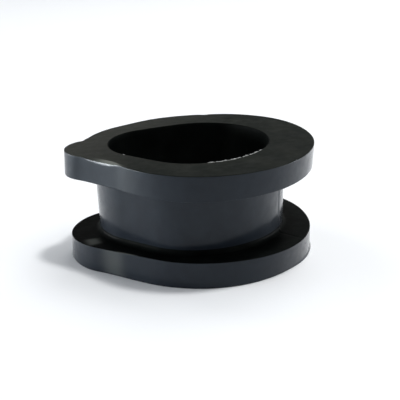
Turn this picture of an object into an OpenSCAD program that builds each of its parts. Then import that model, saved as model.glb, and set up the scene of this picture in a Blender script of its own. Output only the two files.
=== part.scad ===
// Rubber gasket: one moulded piece, an egg-shaped sleeve between two
// flanges. The upper flange carries a rounded tab, and the lower flange
// runs out to a blunt point under it. The groove between the flanges
// grips the edge of the panel that the gasket sits in.
//
// Every outline here is an "egg": a round heel and a smaller round tip,
// joined by two straight flanks that are tangent to both. The heel is at
// +X and the tip at -X.

/* [Heights] */
// Height of the whole gasket
total_h = 27.6; // [22:0.1:40]
// Thickness of the upper flange
upper_t = 6.0; // [3:0.1:9]
// Thickness of the lower flange
lower_t = 6.4; // [3:0.1:9]

/* [Bore and neck] */
// Radius of the bore's heel
bore_heel_r = 16.7; // [14:0.1:18]
// Radius of the bore's tip
bore_tip_r = 11.7; // [9:0.1:13]
// Length of each straight flank of the bore
bore_flank = 9.7; // [7:0.1:11]
// How far the bore sits off the flanges' centre, toward the tip
bore_shift = 1.3; // [0:0.1:2]
// Thickness of the neck's wall
neck_wall = 3.6; // [2:0.1:5]
// Size of the fillet where the neck meets each flange
root_r = 1.2; // [0.4:0.1:2.4]
// Turn of the bore, the neck and the upper flange's body off the tab's line
skew = 9; // [0:0.5:12]

/* [Upper flange] */
// Radius of the upper flange's heel
upper_heel_r = 26.4; // [25:0.1:32]
// Radius of the tip of the upper flange's body
upper_tip_r = 17.6; // [16:0.1:20]
// Length of each straight flank of the upper flange's body
upper_flank = 9.7; // [8:0.1:14]
// Radius of the tab's rounded end
tab_end_r = 7.3; // [5:0.1:10]
// Radius of the wide end of the tab, inside the flange's body
tab_root_r = 14.3; // [12:0.1:16]
// Length of each straight flank of the tab
tab_flank = 10.7; // [8:0.1:16]
// Distance from the flanges' centre to the middle of the tab's wide end
tab_root_at = 14.5; // [12:0.1:17]

/* [Lower flange] */
// Radius of the lower flange's heel
lower_heel_r = 25.5; // [24:0.1:32]
// Radius of the lower flange's point
lower_tip_r = 14.3; // [11:0.1:17]
// Length of each straight flank of the lower flange
lower_flank = 16.2; // [14:0.1:22]

/* [Hidden] */
rubber = [0.07, 0.07, 0.08];
$fn = 96;

neck_heel_r = bore_heel_r + neck_wall;
neck_tip_r = bore_tip_r + neck_wall;
neck_h = total_h - upper_t - lower_t;
// Shapes that join reach this far into each other, and cuts run this far
// past the faces that they open.
lap = neck_wall / 3;
// Flanks lie this far inside the true tangents, so that they cross the arcs.
hair = 0.02;
// A fillet's first and last chords run on by this share into the rubber.
run_on = 0.3;

// Distance between the centres of an egg's two arcs
function egg_len(heel_r, tip_r, flank) = norm([flank, heel_r - tip_r]);
// Angle between a flank and the egg's long axis
function egg_taper(heel_r, tip_r, flank) = atan2(heel_r - tip_r, flank);

upper_len = egg_len(upper_heel_r, upper_tip_r, upper_flank);
tab_len = egg_len(tab_root_r, tab_end_r, tab_flank);
lower_len = egg_len(lower_heel_r, lower_tip_r, lower_flank);

// The arcs that bound both flanges, as [x, y, radius] from their common
// centre. They give the box whose middle is the part's origin.
arcs = [
    [0, 0, upper_heel_r],
    [-upper_len * cos(skew), upper_len * sin(skew), upper_tip_r],
    [-tab_root_at - tab_len, 0, tab_end_r],
    [0, 0, lower_heel_r],
    [-lower_len, 0, lower_tip_r],
];
x_low = min([for (a = arcs) a.x - a.z]);
x_high = max([for (a = arcs) a.x + a.z]);
y_low = min([for (a = arcs) a.y - a.z]);
y_high = max([for (a = arcs) a.y + a.z]);
to_origin = -[x_low + x_high, y_low + y_high, 0] / 2;

module egg_outline(heel_r, tip_r, flank) {
    taper = egg_taper(heel_r, tip_r, flank);
    left = [-sin(taper), cos(taper)];
    right = [-sin(taper), -cos(taper)];
    tip = [-egg_len(heel_r, tip_r, flank), 0];
    circle(heel_r);
    translate(tip) circle(tip_r);
    polygon([
        (heel_r - hair) * left,
        tip + (tip_r - hair) * left,
        tip + (tip_r - hair) * right,
        (heel_r - hair) * right,
    ]);
}

module egg(heel_r, tip_r, flank, h) {
    linear_extrude(h) egg_outline(heel_r, tip_r, flank);
}

// Section of a root fillet in three chords, as [distance out from the wall,
// height over the flange]. The first chord starts inside the neck and the
// last one ends inside the flange.
function on_cove(a) = root_r * [1 + cos(a), 1 + sin(a)];
function past(a, b) = a + (a - b) * run_on;
cove = [
    past(on_cove(180), on_cove(210)),
    on_cove(210),
    on_cove(240),
    past(on_cove(270), on_cove(240)),
];

// Half-section of a fillet on a wall at x = r, filled in to x = inside.
// up is 1 for the fillet at the neck's foot and -1 for the one at its head.
module cove_section(r, inside, up) {
    polygon([
        [inside, up * cove[0].y],
        for (p = cove) [r + p.x, up * p.y],
        [r + cove[3].x, -up * lap],
        [inside, -up * lap],
    ]);
}

// Carries the fillet's section round an egg: one turn for each arc, and a
// straight length for each flank.
module cove_egg(heel_r, tip_r, flank, up) {
    taper = egg_taper(heel_r, tip_r, flank);
    tip = [-egg_len(heel_r, tip_r, flank), 0, 0];
    rotate_extrude() cove_section(heel_r, 0, up);
    translate(tip) rotate_extrude() cove_section(tip_r, 0, up);
    translate(tip)
        rotate([0, 0, 90 + taper]) rotate([90, 0, 0])
            linear_extrude(flank)
                cove_section(tip_r - hair, tip_r - lap, up);
    rotate([0, 0, -90 - taper]) rotate([90, 0, 0])
        linear_extrude(flank)
            cove_section(heel_r - hair, heel_r - lap, up);
}

// The neck stands on z = 0 and reaches into the flanges at both ends.
module neck() {
    translate([0, 0, -lap])
        egg(neck_heel_r, neck_tip_r, bore_flank, neck_h + 2 * lap);
    cove_egg(neck_heel_r, neck_tip_r, bore_flank, 1);
    translate([0, 0, neck_h])
        cove_egg(neck_heel_r, neck_tip_r, bore_flank, -1);
}

module lower_flange() {
    egg(lower_heel_r, lower_tip_r, lower_flank, lower_t);
}

module upper_flange() {
    linear_extrude(upper_t) {
        rotate(-skew) egg_outline(upper_heel_r, upper_tip_r, upper_flank);
        translate([-tab_root_at, 0])
            egg_outline(tab_root_r, tab_end_r, tab_flank);
    }
}

// Places what follows the bore's own axis.
module on_bore_axis(z) {
    rotate([0, 0, -skew])
        translate([-bore_shift, 0, z])
            children();
}

module gasket() {
    color(rubber)
        translate(to_origin)
            difference() {
                union() {
                    lower_flange();
                    on_bore_axis(lower_t) neck();
                    translate([0, 0, lower_t + neck_h]) upper_flange();
                }
                on_bore_axis(-lap)
                    egg(bore_heel_r, bore_tip_r, bore_flank, total_h + 2 * lap);
            }
}

gasket();
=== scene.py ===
"""A black rubber gasket: two egg-shaped flanges joined by a hollow neck.

The gasket is one closed skin of ROWS x RAYS points. Each row is an outline
at one height, given as a radius along every ray from the z axis. Lengths
are in millimetres until the mesh is made. The frame is the CAD model's: the
base is on z = 0 and the box is centred on the z axis.
"""

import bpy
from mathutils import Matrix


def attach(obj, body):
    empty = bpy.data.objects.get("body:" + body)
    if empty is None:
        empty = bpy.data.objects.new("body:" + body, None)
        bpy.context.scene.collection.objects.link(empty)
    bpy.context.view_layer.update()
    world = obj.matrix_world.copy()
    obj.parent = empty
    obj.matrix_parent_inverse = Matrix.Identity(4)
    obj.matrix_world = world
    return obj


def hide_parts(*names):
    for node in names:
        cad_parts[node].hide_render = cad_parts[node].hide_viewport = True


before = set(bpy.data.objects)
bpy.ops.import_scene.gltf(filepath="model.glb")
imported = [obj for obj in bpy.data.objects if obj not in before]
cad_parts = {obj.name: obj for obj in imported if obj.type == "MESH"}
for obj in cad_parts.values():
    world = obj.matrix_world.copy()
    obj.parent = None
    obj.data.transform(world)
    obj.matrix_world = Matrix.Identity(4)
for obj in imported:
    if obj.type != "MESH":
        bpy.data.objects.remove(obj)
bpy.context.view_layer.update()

import math

import bpy
import numpy as np
from mathutils import Matrix, Vector

MM = 0.001                        # metres

# ---------------------------------------------------------------- sizes
TOTAL_H = 27.6
UPPER_T = 6.0
LOWER_T = 6.4
NECK_WALL = 3.6
SKEW = math.radians(9)            # turn of the bore, neck and upper flange
CENTRE = np.array((4.09316, 0.0))  # middle of both flanges' heel circles

# (heel radius, tip radius, straight flank)
BORE = (16.7, 11.7, 9.7)
NECK = (BORE[0] + NECK_WALL, BORE[1] + NECK_WALL, BORE[2])
UPPER = (26.4, 17.6, 9.7)
TAB = (14.3, 7.3, 10.7)
LOWER = (25.5, 14.3, 16.2)
BORE_SHIFT = 1.3                  # from CENTRE towards the tip
TAB_ROOT_AT = 14.5                # from CENTRE to the tab's wide end

GROOVE_TOP = TOTAL_H - UPPER_T
ROOT_R = 1.2                      # fillet where the neck meets a flange
ROOT_STEPS = 8
EDGE_R = 0.18                     # rounding of the moulded edges
EDGE_STEPS = 5
NECK_DRAFT = -0.42                # the neck is this much narrower at its foot

STRAIGHT = math.pi                # the tip's direction
TURNED = math.pi - SKEW
BORE_AT = CENTRE + BORE_SHIFT * np.array((math.cos(TURNED), math.sin(TURNED)))
TAB_AT = CENTRE + np.array((-TAB_ROOT_AT, 0.0))

# ---------------------------------------------------------------- outlines
RAYS = 620
angles = np.linspace(-math.pi, math.pi, RAYS, endpoint=False)
rays = np.stack((np.cos(angles), np.sin(angles)), axis=1)


def reach(egg, at, towards, grow=0.0):
    """How far each ray from the origin runs inside an egg.

    An egg is a heel circle around at and a smaller tip circle, joined by two
    straight flanks that are tangent to both. grow is added all round.
    """
    heel_r, tip_r, flank = egg[0] + grow, egg[1] + grow, egg[2]
    step = math.hypot(flank, heel_r - tip_r)
    axis = np.array((math.cos(towards), math.sin(towards)))
    far = np.zeros(len(rays))
    for middle, radius in ((at, heel_r), (at + step * axis, tip_r)):
        b = rays @ middle
        c = middle @ middle - radius * radius
        root = b * b - c
        hit = np.where(root > 0, b + np.sqrt(np.maximum(root, 0)), 0)
        far = np.maximum(far, hit)
    lean = math.acos((heel_r - tip_r) / step)
    for side in (-1, 1):
        normal = np.array((math.cos(towards + side * lean),
                           math.sin(towards + side * lean)))
        along = np.array((-normal[1], normal[0])) * -side
        facing = rays @ normal
        run = (heel_r + normal @ at) / np.where(facing > 1e-6, facing, 1e-6)
        place = (rays * run[:, None] - at) @ along
        on = (facing > 1e-6) & (place > 0) & (place < flank)
        far = np.where(on, np.maximum(far, run), far)
    return far


def joined(a, b, soft=0.5):
    """The outer of two outlines, with a small fillet between them."""
    h = np.clip(0.5 + 0.5 * (a - b) / soft, 0, 1)
    return b + (a - b) * h + soft * h * (1 - h)


def drift(*terms):
    """How far a real outline strays from the drawn one, as low harmonics."""
    stray = np.full(RAYS, terms[0])
    for k in range(1, len(terms) // 2 + 1):
        stray = stray + (terms[2 * k - 1] * np.cos(k * angles)
                         + terms[2 * k] * np.sin(k * angles))
    return stray


def near(centre_deg, width_deg):
    """A smooth bump along the rays, 1 at its centre."""
    off = angles - math.radians(centre_deg)
    off = (off + math.pi) % (2 * math.pi) - math.pi
    return np.exp(-(off / math.radians(width_deg)) ** 2)


def between(from_deg, to_deg, soft_deg):
    """1 between two directions, with soft ends."""
    turn = np.degrees(angles)
    return 1 / ((1 + np.exp(-(turn - from_deg) / soft_deg))
                * (1 + np.exp((turn - to_deg) / soft_deg)))


# the kinks where the tab meets the round of the upper flange
TAB_KINKS = (0.30 * near(163.5, 1.8) - 0.35 * near(167, 1.2)
             - 0.40 * near(76.5, 2.5))
# the tab runs into the round softly in front, and sharply behind
TAB_SOFT = 0.6 + 2.4 * between(-179, -60, 3)

# how the soft moulding strays from the drawn outlines, top and bottom
UPPER_TOP = TAB_KINKS + drift(
    -0.206, 0.188, -0.237, 0.116, -0.096, 0.055, 0.188, -0.142, 0.181,
    -0.130, -0.143, 0.058, -0.004, 0.027, 0.006)
UPPER_FOOT = TAB_KINKS + drift(
    -0.116, -0.215, -0.132, -0.003, -0.022, 0.082, 0.332, -0.092, 0.209,
    -0.069, -0.191, 0.004, -0.013, 0.062, 0.013)
LOWER_TOP = drift(
    -0.071, 0.260, -0.059, 0.067, 0.171, -0.158, -0.197, -0.094, 0.056,
    -0.138, -0.055)
LOWER_FOOT = 0.30 * near(-160, 9) + drift(
    0.134, -0.109, 0.477, -0.008, 0.221, 0.045, 0.199, -0.008, -0.107,
    -0.078, 0.059, 0.038, -0.166)
# the bore and the neck, at any height: only 0.55 of what the fit to the photo
# gave
SLEEVE = drift(
    0.167, -0.118, -0.134, -0.150, 0.190, 0.215, 0.091, 0.006, -0.014)


def bore(grow, z):
    return reach(BORE, BORE_AT, TURNED, grow) + SLEEVE


def neck(grow, z):
    draft = NECK_DRAFT * (GROOVE_TOP - z) / (GROOVE_TOP - LOWER_T)
    return reach(NECK, BORE_AT, TURNED, grow + draft) + SLEEVE


def lower(grow, z):
    share = z / LOWER_T
    return (reach(LOWER, CENTRE, STRAIGHT, grow)
            + LOWER_TOP * share + LOWER_FOOT * (1 - share))


def upper(grow, z):
    share = (z - GROOVE_TOP) / UPPER_T
    return (joined(reach(UPPER, CENTRE, TURNED, grow),
                   reach(TAB, TAB_AT, STRAIGHT, grow), TAB_SOFT)
            + UPPER_TOP * share + UPPER_FOOT * (1 - share))


# ---------------------------------------------------------------- the skin
rows = []                         # (radius along each ray, height)


def add(radius, z):
    rows.append((radius, np.zeros(RAYS) + z))


def level(inner, outer, z, shares):
    """Rows of a flat face, from one outline to another."""
    for s in shares:
        add(inner + (outer - inner) * s, z)


def corner(outline, z, start, sign_z, size=EDGE_R, hollow=False):
    """Rows round an edge. start 0 begins on the flat face, 1 on the wall.

    sign_z is +1 where the flat face is on top. A hollow one rounds the
    bore's edge, where the rubber is outside the outline. The size may
    differ from ray to ray.
    """
    for i in range(EDGE_STEPS + 1):
        share = i / EDGE_STEPS if start == 0 else 1 - i / EDGE_STEPS
        a = share * math.pi / 2
        back = size * (1 - math.sin(a))
        down = size * (1 - math.cos(a))
        add(outline(0, z) + (back if hollow else -back), z - sign_z * down)


def wall(outline, z0, z1, shares):
    """Rows up or down a wall. Both heights may differ from ray to ray."""
    for s in shares:
        z = z0 + (z1 - z0) * s
        add(outline(0, z), z)


def root(z, sign_z, start):
    """Rows of the fillet at the neck's end. start 0 begins on the flange."""
    for i in range(ROOT_STEPS + 1):
        share = i / ROOT_STEPS if start == 0 else 1 - i / ROOT_STEPS
        a = share * math.pi / 2
        out = ROOT_R * (1 - math.sin(a))
        z_here = z + sign_z * ROOT_R * (1 - math.cos(a))
        add(neck(out, z_here), z_here)


def spread(count, tight=0.04):
    """Shares of a face that lie closer near its two edges."""
    inside = np.linspace(tight * 2.5, 1 - tight * 2.5, count)
    return [tight, *inside, 1 - tight]


# each flange's upper edge is rounder where it is worn, at the front left
UPPER_EDGE = EDGE_R + 0.50 * between(-163, -142, 1.5)
LOWER_EDGE = EDGE_R + 0.06 * between(-140, -123, 2.0)

# The rows start at the bore's foot, and go out, up the outside and down the
# bore. The names kept below mark the rows where a finish starts or ends.
corner(bore, 0, 1, -1, hollow=True)
level(bore(EDGE_R, 0), lower(-EDGE_R, 0), 0, spread(4))
corner(lower, 0, 0, -1)
lower_wall = len(rows)
wall(lower, EDGE_R, LOWER_T - LOWER_EDGE, spread(9))
corner(lower, LOWER_T, 1, 1, size=LOWER_EDGE)
smooth_from = len(rows) - EDGE_STEPS
level(lower(0, LOWER_T) - LOWER_EDGE, neck(ROOT_R, LOWER_T), LOWER_T,
      spread(12))
root(LOWER_T, 1, 0)
smooth_to = len(rows) - 1
wall(neck, LOWER_T + ROOT_R, GROOVE_TOP - ROOT_R, spread(16))
root(GROOVE_TOP, -1, 1)
level(neck(ROOT_R, GROOVE_TOP), upper(-EDGE_R, GROOVE_TOP), GROOVE_TOP,
      spread(6))
corner(upper, GROOVE_TOP, 0, -1)
upper_wall = len(rows)
wall(upper, GROOVE_TOP + EDGE_R, TOTAL_H - UPPER_EDGE, spread(9))
corner(upper, TOTAL_H, 1, 1, size=UPPER_EDGE)
matte_from = len(rows) - EDGE_STEPS
level(upper(0, TOTAL_H) - UPPER_EDGE, bore(EDGE_R, TOTAL_H), TOTAL_H,
      spread(14))
matte_to = len(rows)
corner(bore, TOTAL_H, 0, 1, hollow=True)
wall(bore, TOTAL_H - EDGE_R, EDGE_R, spread(20))

radius = np.array([r for r, _ in rows])
height = np.array([z for _, z in rows])
ROWS = len(rows)

# a ragged lip of flash stands on the bore's rim, highest at its middle row
FLASH_UP, FLASH_IN = 0.22, 0.10
FLASH_ROWS = ((1, 0.55), (2, 1.0), (3, 0.75))
ragged = np.zeros(RAYS)
for k, part, phase in ((37, 0.30, 0.4), (61, 0.34, 2.1), (97, 0.30, 4.4),
                       (143, 0.22, 1.0), (211, 0.18, 5.2)):
    ragged += part * np.sin(k * angles + phase)
torn = np.clip(0.62 + 0.55 * ragged, 0.12, 1.25)
torn = torn * (between(-79.8, -29, 0.5) + 0.8 * between(-157.6, -155, 0.4))
for step, share in FLASH_ROWS:
    height[matte_to + step] += FLASH_UP * torn * share
    radius[matte_to + step] -= FLASH_IN * torn * share

# and a thin one runs along the right of the base, on its outermost rows
LIP_H, LIP_DEPTH = 0.3, 0.35
lip = 0.25 * between(-32, 4, 3)
for r in range(ROWS):
    outermost = (height[r] < LIP_H) & (radius[r] > lower(-LIP_DEPTH, 0))
    radius[r] += np.where(outermost, lip, 0)
xyz = np.stack((radius * rays[:, 0], radius * rays[:, 1], height), axis=2)

# ---------------------------------------------------------------- unevenness
rng = np.random.default_rng(11)
WAVES = 14


def waves(points, lengths):
    """A smooth uneven field of about unit height, with these wavelengths."""
    total = np.zeros(points.shape[:-1])
    for _ in range(WAVES):
        way = rng.normal(size=3)
        way /= np.linalg.norm(way)
        k = 2 * math.pi / rng.uniform(*lengths)
        total += np.sin(points @ way * k + rng.uniform(0, 2 * math.pi))
    return total / math.sqrt(WAVES / 2)


# the surface normals, from each point's neighbours
tangent = np.roll(xyz, -1, axis=0) - np.roll(xyz, 1, axis=0)
tangent /= np.linalg.norm(tangent, axis=2, keepdims=True)
side = np.roll(xyz, -1, axis=1) - np.roll(xyz, 1, axis=1)
side /= np.linalg.norm(side, axis=2, keepdims=True)
normal = np.cross(side, tangent)
normal /= np.linalg.norm(normal, axis=2, keepdims=True)

# slight waves all over, apart from the base and the bore's foot
WAVE_LIMIT = 0.06
lift = 0.012 * waves(xyz, (9, 18)) + 0.004 * waves(xyz, (2.2, 4.5))
still = (height < 0.01) | (height < 1) & (radius < bore(EDGE_R * 1.01, 0))
lift = np.where(still, 0, np.clip(lift, -WAVE_LIMIT, WAVE_LIMIT))
moved = xyz + normal * lift[..., None]
moved[..., 2] = np.maximum(moved[..., 2], 0)

# the moulding's parting ridges run down the neck
RIDGE_H, RIDGE_WIDTH = 0.16, 0.22
NECK_R, NECK_MID = 20.3, 14       # its heel's radius, and the middle height
RIDGE_REACH, RIDGE_GAP = 0.9, 0.2
from_bore = xyz[..., :2] - BORE_AT
neck_angle = np.arctan2(from_bore[..., 1], from_bore[..., 0])
on_neck = ((height > LOWER_T + RIDGE_GAP) & (height < GROOVE_TOP - RIDGE_GAP)
           & (np.abs(radius - neck(0, NECK_MID)) < RIDGE_REACH))
for at in (math.radians(-25.8), math.radians(154)):
    off = (neck_angle - at + math.pi) % (2 * math.pi) - math.pi
    ridge = RIDGE_H * np.exp(-(off * NECK_R / RIDGE_WIDTH) ** 2)
    moved += normal * np.where(on_neck, ridge, 0)[..., None]

# a faint knife line crosses the lower flange's top
KNIFE_DEPTH, KNIFE_WIDTH = 0.07, 0.2
line_from, line_to = np.array((20.7, -9.4)), np.array((25.4, -13.7))
along = line_to - line_from
share = np.clip((moved[..., :2] - line_from) @ along / (along @ along), 0, 1)
away = np.linalg.norm(moved[..., :2] - line_from - share[..., None] * along,
                      axis=2)
row_number = np.arange(ROWS)[:, None]
on_top = (row_number >= smooth_from) & (row_number < smooth_to)
cut = KNIFE_DEPTH * np.exp(-(away / KNIFE_WIDTH) ** 2)
moved[..., 2] -= np.where(on_top, cut, 0)

# ---------------------------------------------------------------- painted highlights, a painted reflection and a pale streak
painted_highlights_and_streak = np.zeros((ROWS, RAYS))


def paint_paler(row_from, row_to, amount):
    """Paints these rows at least this pale, from 0 for the rubber's own
    colour.
    """
    painted_highlights_and_streak[row_from:row_to] = np.maximum(painted_highlights_and_streak[row_from:row_to], amount)


# painted highlights: a band on each flange's wall, and a painted glint on the
# edge near it
paint_paler(lower_wall, smooth_from, 0.28 * between(-149, -138, 1.5))
paint_paler(smooth_from, smooth_from + EDGE_STEPS, 0.30 * between(-141, -130, 1.5))
paint_paler(upper_wall, matte_from, 0.05 * between(-142, -126, 2.0))
paint_paler(matte_from, matte_from + EDGE_STEPS + 1, 0.70 * between(-154, -138, 2.0))
# a painted reflection: a pale patch on the lower flange's top, between two
# radii
PATCH_IN, PATCH_OUT, PATCH_SOFT = 24.4, 27.2, 0.3
painted_reflection = 0.75 * between(-165.5, -157.5, 0.5) / (
    (1 + np.exp((PATCH_IN - radius) / PATCH_SOFT))
    * (1 + np.exp((radius - PATCH_OUT) / PATCH_SOFT)))
paint_paler(smooth_from, smooth_to, painted_reflection[smooth_from:smooth_to])
# and a faint streak down the bore
paint_paler(matte_to + EDGE_STEPS, ROWS, 0.03 * between(38, 54, 3.0))

# ---------------------------------------------------------------- the mesh
SATIN, MATTE, SMOOTH, TORN_AND_GLINT = 0, 1, 2, 3       # as in FINISHES below
finish_of = np.full((ROWS, RAYS), SATIN)
finish_of[matte_from:matte_to] = MATTE           # the top
finish_of[smooth_from:smooth_to] = SMOOTH        # the lower flange's top
finish_of[matte_to:] = SMOOTH                    # the bore
finish_of[:EDGE_STEPS] = SMOOTH
# the flash's pale finish: its torn surface, painted paler still as the glint
# it catches
finish_of[matte_to:matte_to + 4, torn > 0.2] = TORN_AND_GLINT

faces = []
for r in range(ROWS):
    r2 = (r + 1) % ROWS
    for c in range(RAYS):
        c2 = (c + 1) % RAYS
        faces.append((r * RAYS + c, r * RAYS + c2,
                      r2 * RAYS + c2, r2 * RAYS + c))

mesh = bpy.data.meshes.new("gasket_skin")
mesh.from_pydata([tuple(p) for p in (moved * MM).reshape(-1, 3)], [], faces)
mesh.validate()
mesh.update()
mesh.polygons.foreach_set("use_smooth", [True] * len(mesh.polygons))
mesh.polygons.foreach_set("material_index", finish_of.ravel().tolist())
# the painted highlights, the painted reflection and the bore's streak, as a
# pale paint for the materials
mesh.attributes.new("painted_highlights_and_streak", "FLOAT", "POINT").data.foreach_set(
    "value", painted_highlights_and_streak.ravel().tolist())
gasket = bpy.data.objects.new("gasket_skin", mesh)
bpy.context.scene.collection.objects.link(gasket)


# ---------------------------------------------------------------- materials
MIX_A, MIX_B, MIX_RESULT = 6, 7, 2    # a Mix node's colour sockets
SHEEN_SCALE, UNEVEN_SCALE, GRAIN_SCALE = 420, 500, 2600
# the top is painted paler towards the tab and the back, as the brighter light
# that falls there
PAINTED_LIGHT_WAY, PAINTED_LIGHT_FULL = (-800, 500, 0), 28    # per metre, and where it is full
# the pale colour of the painted highlights and reflection, and of the bore's
# streak
HIGHLIGHT_AND_STREAK_COLOUR = (0.170, 0.180, 0.165)
GREENISH, WHITE = (1.0, 1.0, 0.95), (1.0, 1.0, 1.0)


def node(tree, kind, **values):
    """A new node. The values are its properties, or else its inputs."""
    made = tree.nodes.new(kind)
    for key, value in values.items():
        if hasattr(made, key):
            setattr(made, key, value)
        else:
            made.inputs[key.replace("_", " ")].default_value = value
    return made


def rubber(name, dark, light, patch_scale, smooth, rough, specular, tint,
           coat=0.0, painted_light=None):
    """Black rubber, mottled, with a fine grain and a soft unevenness.

    The colour varies between dark and light, in patches, and the roughness
    between smooth and rough. The last argument is a paler colour, painted in
    towards the tab and the back for the brighter light there. A float
    attribute on the mesh paints it paler still, with painted highlights, a
    painted reflection and a streak.
    """
    made = bpy.data.materials.new(name)
    made.use_nodes = True
    tree = made.node_tree
    shader = tree.nodes["Principled BSDF"]
    link = tree.links.new
    place_at = node(tree, "ShaderNodeTexCoord").outputs["Object"]

    def noise(scale, detail=3.0):
        n = node(tree, "ShaderNodeTexNoise", Scale=scale, Detail=detail)
        link(place_at, n.inputs["Vector"])
        return n.outputs["Fac"]

    def ramp(value, to_low, to_high, low=0.35, high=0.65):
        m = node(tree, "ShaderNodeMapRange", From_Min=low, From_Max=high,
                 To_Min=to_low, To_Max=to_high)
        link(value, m.inputs["Value"])
        return m.outputs["Result"]

    def mixed(share, first, second):
        """Between first, a socket or a colour, and second, a colour."""
        m = node(tree, "ShaderNodeMix", data_type="RGBA")
        link(share, m.inputs["Factor"])
        if isinstance(first, tuple):
            m.inputs[MIX_A].default_value = (*first, 1)
        else:
            link(first, m.inputs[MIX_A])
        m.inputs[MIX_B].default_value = (*second, 1)
        return m.outputs[MIX_RESULT]

    shade = mixed(ramp(noise(patch_scale), 0, 1), dark, light)
    # painted light: paler towards the tab and the back
    if painted_light:
        across = node(tree, "ShaderNodeVectorMath", operation="DOT_PRODUCT")
        link(place_at, across.inputs[0])
        across.inputs[1].default_value = PAINTED_LIGHT_WAY
        share = ramp(across.outputs["Value"], 0, 1, 0, PAINTED_LIGHT_FULL)
        shade = mixed(share, shade, painted_light)
    # painted highlights, a painted reflection and a streak, mixed over the
    # colour
    painted_highlight_node = node(tree, "ShaderNodeAttribute", attribute_name="painted_highlights_and_streak")
    shade = mixed(painted_highlight_node.outputs["Fac"], shade, HIGHLIGHT_AND_STREAK_COLOUR)
    link(shade, shader.inputs["Base Color"])
    link(ramp(noise(SHEEN_SCALE), smooth, rough), shader.inputs["Roughness"])
    shader.inputs["IOR"].default_value = 1.5
    shader.inputs["Specular IOR Level"].default_value = specular
    shader.inputs["Specular Tint"].default_value = (*tint, 1)
    shader.inputs["Coat Weight"].default_value = coat
    shader.inputs["Coat IOR"].default_value = 1.25
    shader.inputs["Coat Roughness"].default_value = 0.16

    grain = node(tree, "ShaderNodeBump", Strength=0.2, Distance=0.00005)
    link(noise(GRAIN_SCALE, 2.0), grain.inputs["Height"])
    uneven = node(tree, "ShaderNodeBump", Strength=0.3, Distance=0.00012)
    link(noise(UNEVEN_SCALE, 2.0), uneven.inputs["Height"])
    link(grain.outputs["Normal"], uneven.inputs["Normal"])
    link(uneven.outputs["Normal"], shader.inputs["Normal"])
    return made


FINISHES = (
    rubber("satin_rubber", (0.0026, 0.0042, 0.0090), (0.0046, 0.0070, 0.0125),
           260, 0.42, 0.54, 0.18, (0.72, 0.90, 1.0), coat=1.0),
    # the top, with light painted in towards the tab and the back
    rubber("matte_rubber", (0.0040, 0.0060, 0.0052), (0.0090, 0.0110, 0.0092),
           150, 0.60, 0.72, 0.08, GREENISH, painted_light=(0.0330, 0.0340, 0.0310)),
    rubber("smooth_rubber", (0.0022, 0.0029, 0.0028), (0.0045, 0.0056, 0.0052),
           200, 0.40, 0.50, 0.02, GREENISH),
    # torn flash, painted pale also as the glint it catches along the bore's
    # front rim
    rubber("torn_and_glinting_rubber", (0.1000, 0.1050, 0.1050), (0.2900, 0.3000, 0.3000),
           1800, 0.45, 0.60, 0.40, WHITE))
for finish in FINISHES:
    gasket.data.materials.append(finish)
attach(gasket, "root")
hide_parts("gasket")


# ---------------------------------------------------------------- the stage
WARM, COOL = (1.0, 0.99, 0.97), (0.92, 0.96, 1.0)
FLOOR_GLOW, AMBIENT = 0.03, 0.21
WALL_TOP, CEILING = 0.16, 0.28        # as the sine of the elevation


def light_share(tree):
    """1 for rays that see the background: camera, glossy and transmission."""
    path = node(tree, "ShaderNodeLightPath")
    total = None
    for name in ("Is Camera Ray", "Is Glossy Ray", "Is Transmission Ray"):
        if total is None:
            total = path.outputs[name]
            continue
        m = node(tree, "ShaderNodeMath", operation="MAXIMUM")
        tree.links.new(total, m.inputs[0])
        tree.links.new(path.outputs[name], m.inputs[1])
        total = m.outputs["Value"]
    return total


def floor_material():
    """A pale matte floor that also glows a little to the camera."""
    made = bpy.data.materials.new("pale_floor")
    made.use_nodes = True
    tree = made.node_tree
    tree.nodes.clear()
    link = tree.links.new
    diffuse = node(tree, "ShaderNodeBsdfDiffuse", Color=(0.84, 0.86, 0.89, 1))
    glow = node(tree, "ShaderNodeEmission")
    scale = node(tree, "ShaderNodeMath", operation="MULTIPLY")
    link(light_share(tree), scale.inputs[0])
    scale.inputs[1].default_value = FLOOR_GLOW
    link(scale.outputs["Value"], glow.inputs["Strength"])
    both = node(tree, "ShaderNodeAddShader")
    link(diffuse.outputs[0], both.inputs[0])
    link(glow.outputs[0], both.inputs[1])
    out = node(tree, "ShaderNodeOutputMaterial")
    link(both.outputs[0], out.inputs["Surface"])
    return made


def studio_world():
    """A pale wall stands all round the floor, under a darker ceiling."""
    made = bpy.data.worlds.new("studio")
    made.use_nodes = True
    tree = made.node_tree
    tree.nodes.clear()
    link = tree.links.new
    direction = node(tree, "ShaderNodeTexCoord")
    split = node(tree, "ShaderNodeSeparateXYZ")
    link(direction.outputs["Generated"], split.inputs["Vector"])
    fade = node(tree, "ShaderNodeMapRange", interpolation_type="SMOOTHSTEP",
                From_Min=WALL_TOP, From_Max=CEILING, To_Min=1.0, To_Max=0.05)
    link(split.outputs["Z"], fade.inputs["Value"])
    seen = node(tree, "ShaderNodeBackground")
    link(fade.outputs["Result"], seen.inputs["Strength"])
    soft = node(tree, "ShaderNodeBackground", Color=(*COOL, 1),
                Strength=AMBIENT)
    choose = node(tree, "ShaderNodeMixShader")
    link(light_share(tree), choose.inputs["Fac"])
    link(soft.outputs[0], choose.inputs[1])
    link(seen.outputs[0], choose.inputs[2])
    out = node(tree, "ShaderNodeOutputWorld")
    link(choose.outputs[0], out.inputs["Surface"])
    return made


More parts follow.
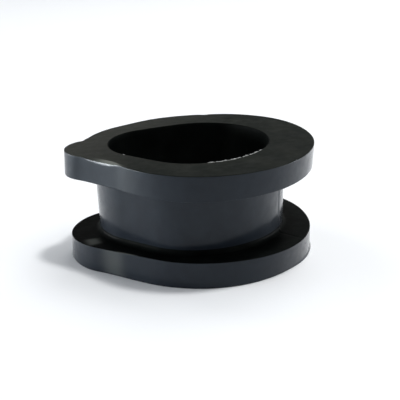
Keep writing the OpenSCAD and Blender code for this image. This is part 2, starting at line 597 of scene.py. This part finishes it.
bpy.ops.mesh.primitive_plane_add(size=8, location=(0, 0, 0))
floor = bpy.context.active_object
floor.name = "floor"
floor.data.materials.append(floor_material())
bpy.context.scene.world = studio_world()


def lamp(name, at, size, watts, colour, tall=None):
    """A disk that faces the origin, or an ellipse where tall is given."""
    data = bpy.data.lights.new(name, "AREA")
    data.shape = "ELLIPSE" if tall else "DISK"
    data.size = size
    if tall:
        data.size_y = tall
    data.energy = watts
    data.color = colour
    made = bpy.data.objects.new(name, data)
    bpy.context.scene.collection.objects.link(made)
    made.location = at
    made.rotation_mode = "QUATERNION"
    made.rotation_quaternion = (-Vector(at)).to_track_quat("-Z", "Y")


def around(azimuth, height, distance):
    """A place at this distance, by its azimuth and elevation in degrees."""
    turn, rise = math.radians(azimuth), math.radians(height)
    return (distance * math.cos(rise) * math.cos(turn),
            distance * math.cos(rise) * math.sin(turn),
            distance * math.sin(rise))


lamp("key", around(-6, 75, 0.95), 0.11, 4.0, WARM)
lamp("side", around(-5, 62, 0.95), 0.60, 2.4, WARM)
lamp("back", around(60, 55, 0.95), 0.60, 2.7, WARM)
lamp("left", around(173, 5, 0.60), 0.50, 4.4, COOL, tall=0.10)
lamp("right", around(5, 3, 0.60), 0.40, 1.8, COOL, tall=0.06)
lamp("glint", around(132, 50, 0.90), 0.22, 0.7, WARM)

# ---------------------------------------------------------------- the camera
camera_data = bpy.data.cameras.new("camera")
camera = bpy.data.objects.new("camera", camera_data)
bpy.context.scene.collection.objects.link(camera)
bpy.context.scene.camera = camera
camera_data.sensor_width = 36
camera_data.lens = 86.0
camera_data.clip_start = 0.01
camera_data.clip_end = 50
# the camera's own axes and place, fitted to the photo's outlines
RIGHT = (0.996144, -0.082201, -0.030644)
UP = (0.057150, 0.343044, 0.937579)
AHEAD = (0.066557, 0.935716, -0.346420)
SPOT = (-0.0135286, -0.2225752, 0.0948861)
camera.matrix_world = Matrix([(RIGHT[i], UP[i], -AHEAD[i], SPOT[i])
                              for i in range(3)] + [(0, 0, 0, 1)])

bpy.context.scene.view_settings.view_transform = "Standard"
